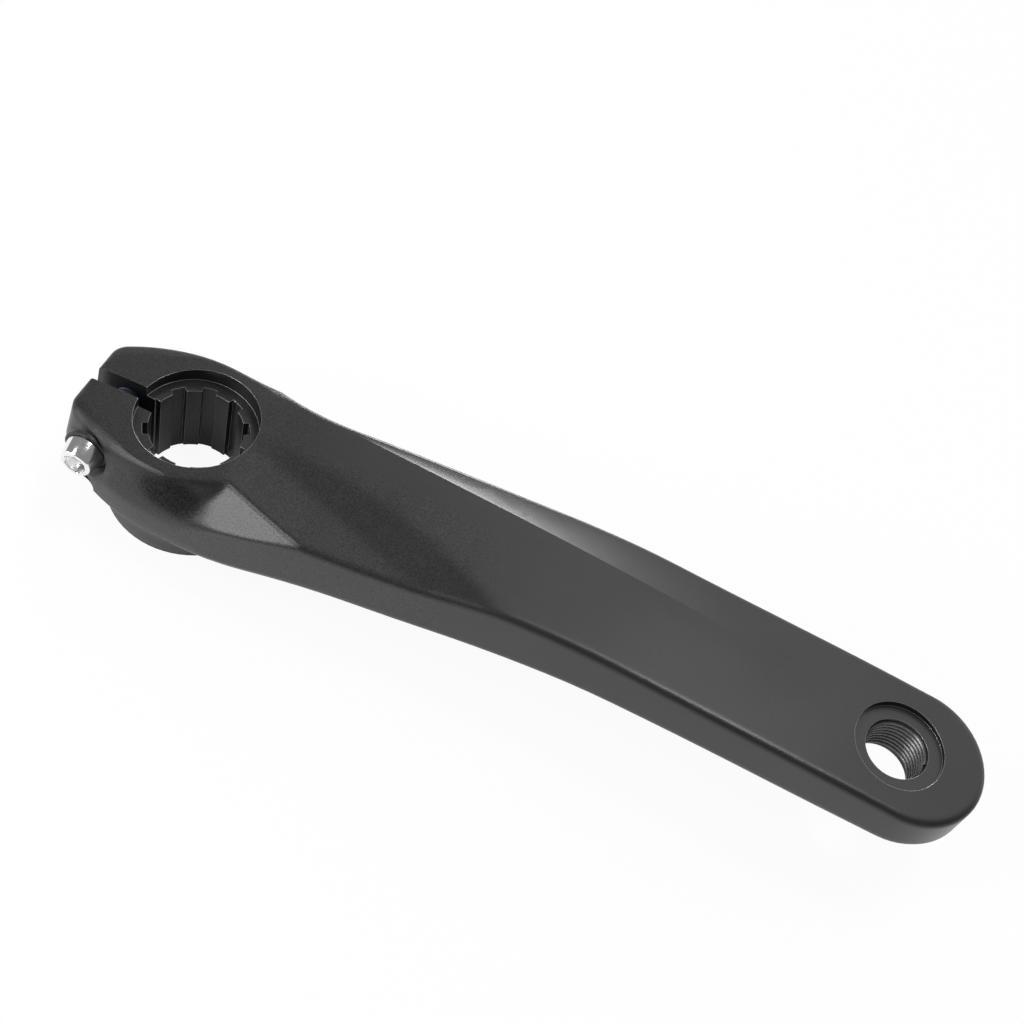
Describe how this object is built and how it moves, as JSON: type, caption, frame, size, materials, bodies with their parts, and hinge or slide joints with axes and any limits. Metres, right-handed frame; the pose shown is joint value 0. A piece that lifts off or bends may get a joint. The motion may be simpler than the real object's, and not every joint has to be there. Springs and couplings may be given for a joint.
{
  "type": "bicycle crank arm",
  "caption": "Forged bicycle crank arm with a splined split clamp at one end, closed by opposed pinch bolts, and a threaded pedal eye at the other.",
  "frame": {"origin": "on the spindle axis, at mid-length of the splined part of the spindle bore", "axes": "+Z along the spindle axis, outboard, away from the bicycle; +X from the spindle axis to the pedal axis"},
  "size_m": [0.2175, 0.0414, 0.0338],
  "materials": {
    "satin_black": "satin black anodised",
    "polished_steel": "bright plated",
    "black_steel": "blackened"
  },
  "bodies": {
    "root": {"crank_arm": "satin_black", "outer_pinch_bolt": "polished_steel", "outer_bolt_washer": "black_steel", "inner_pinch_bolt": "polished_steel", "inner_bolt_washer": "black_steel"}
  },
  "joints": []
}
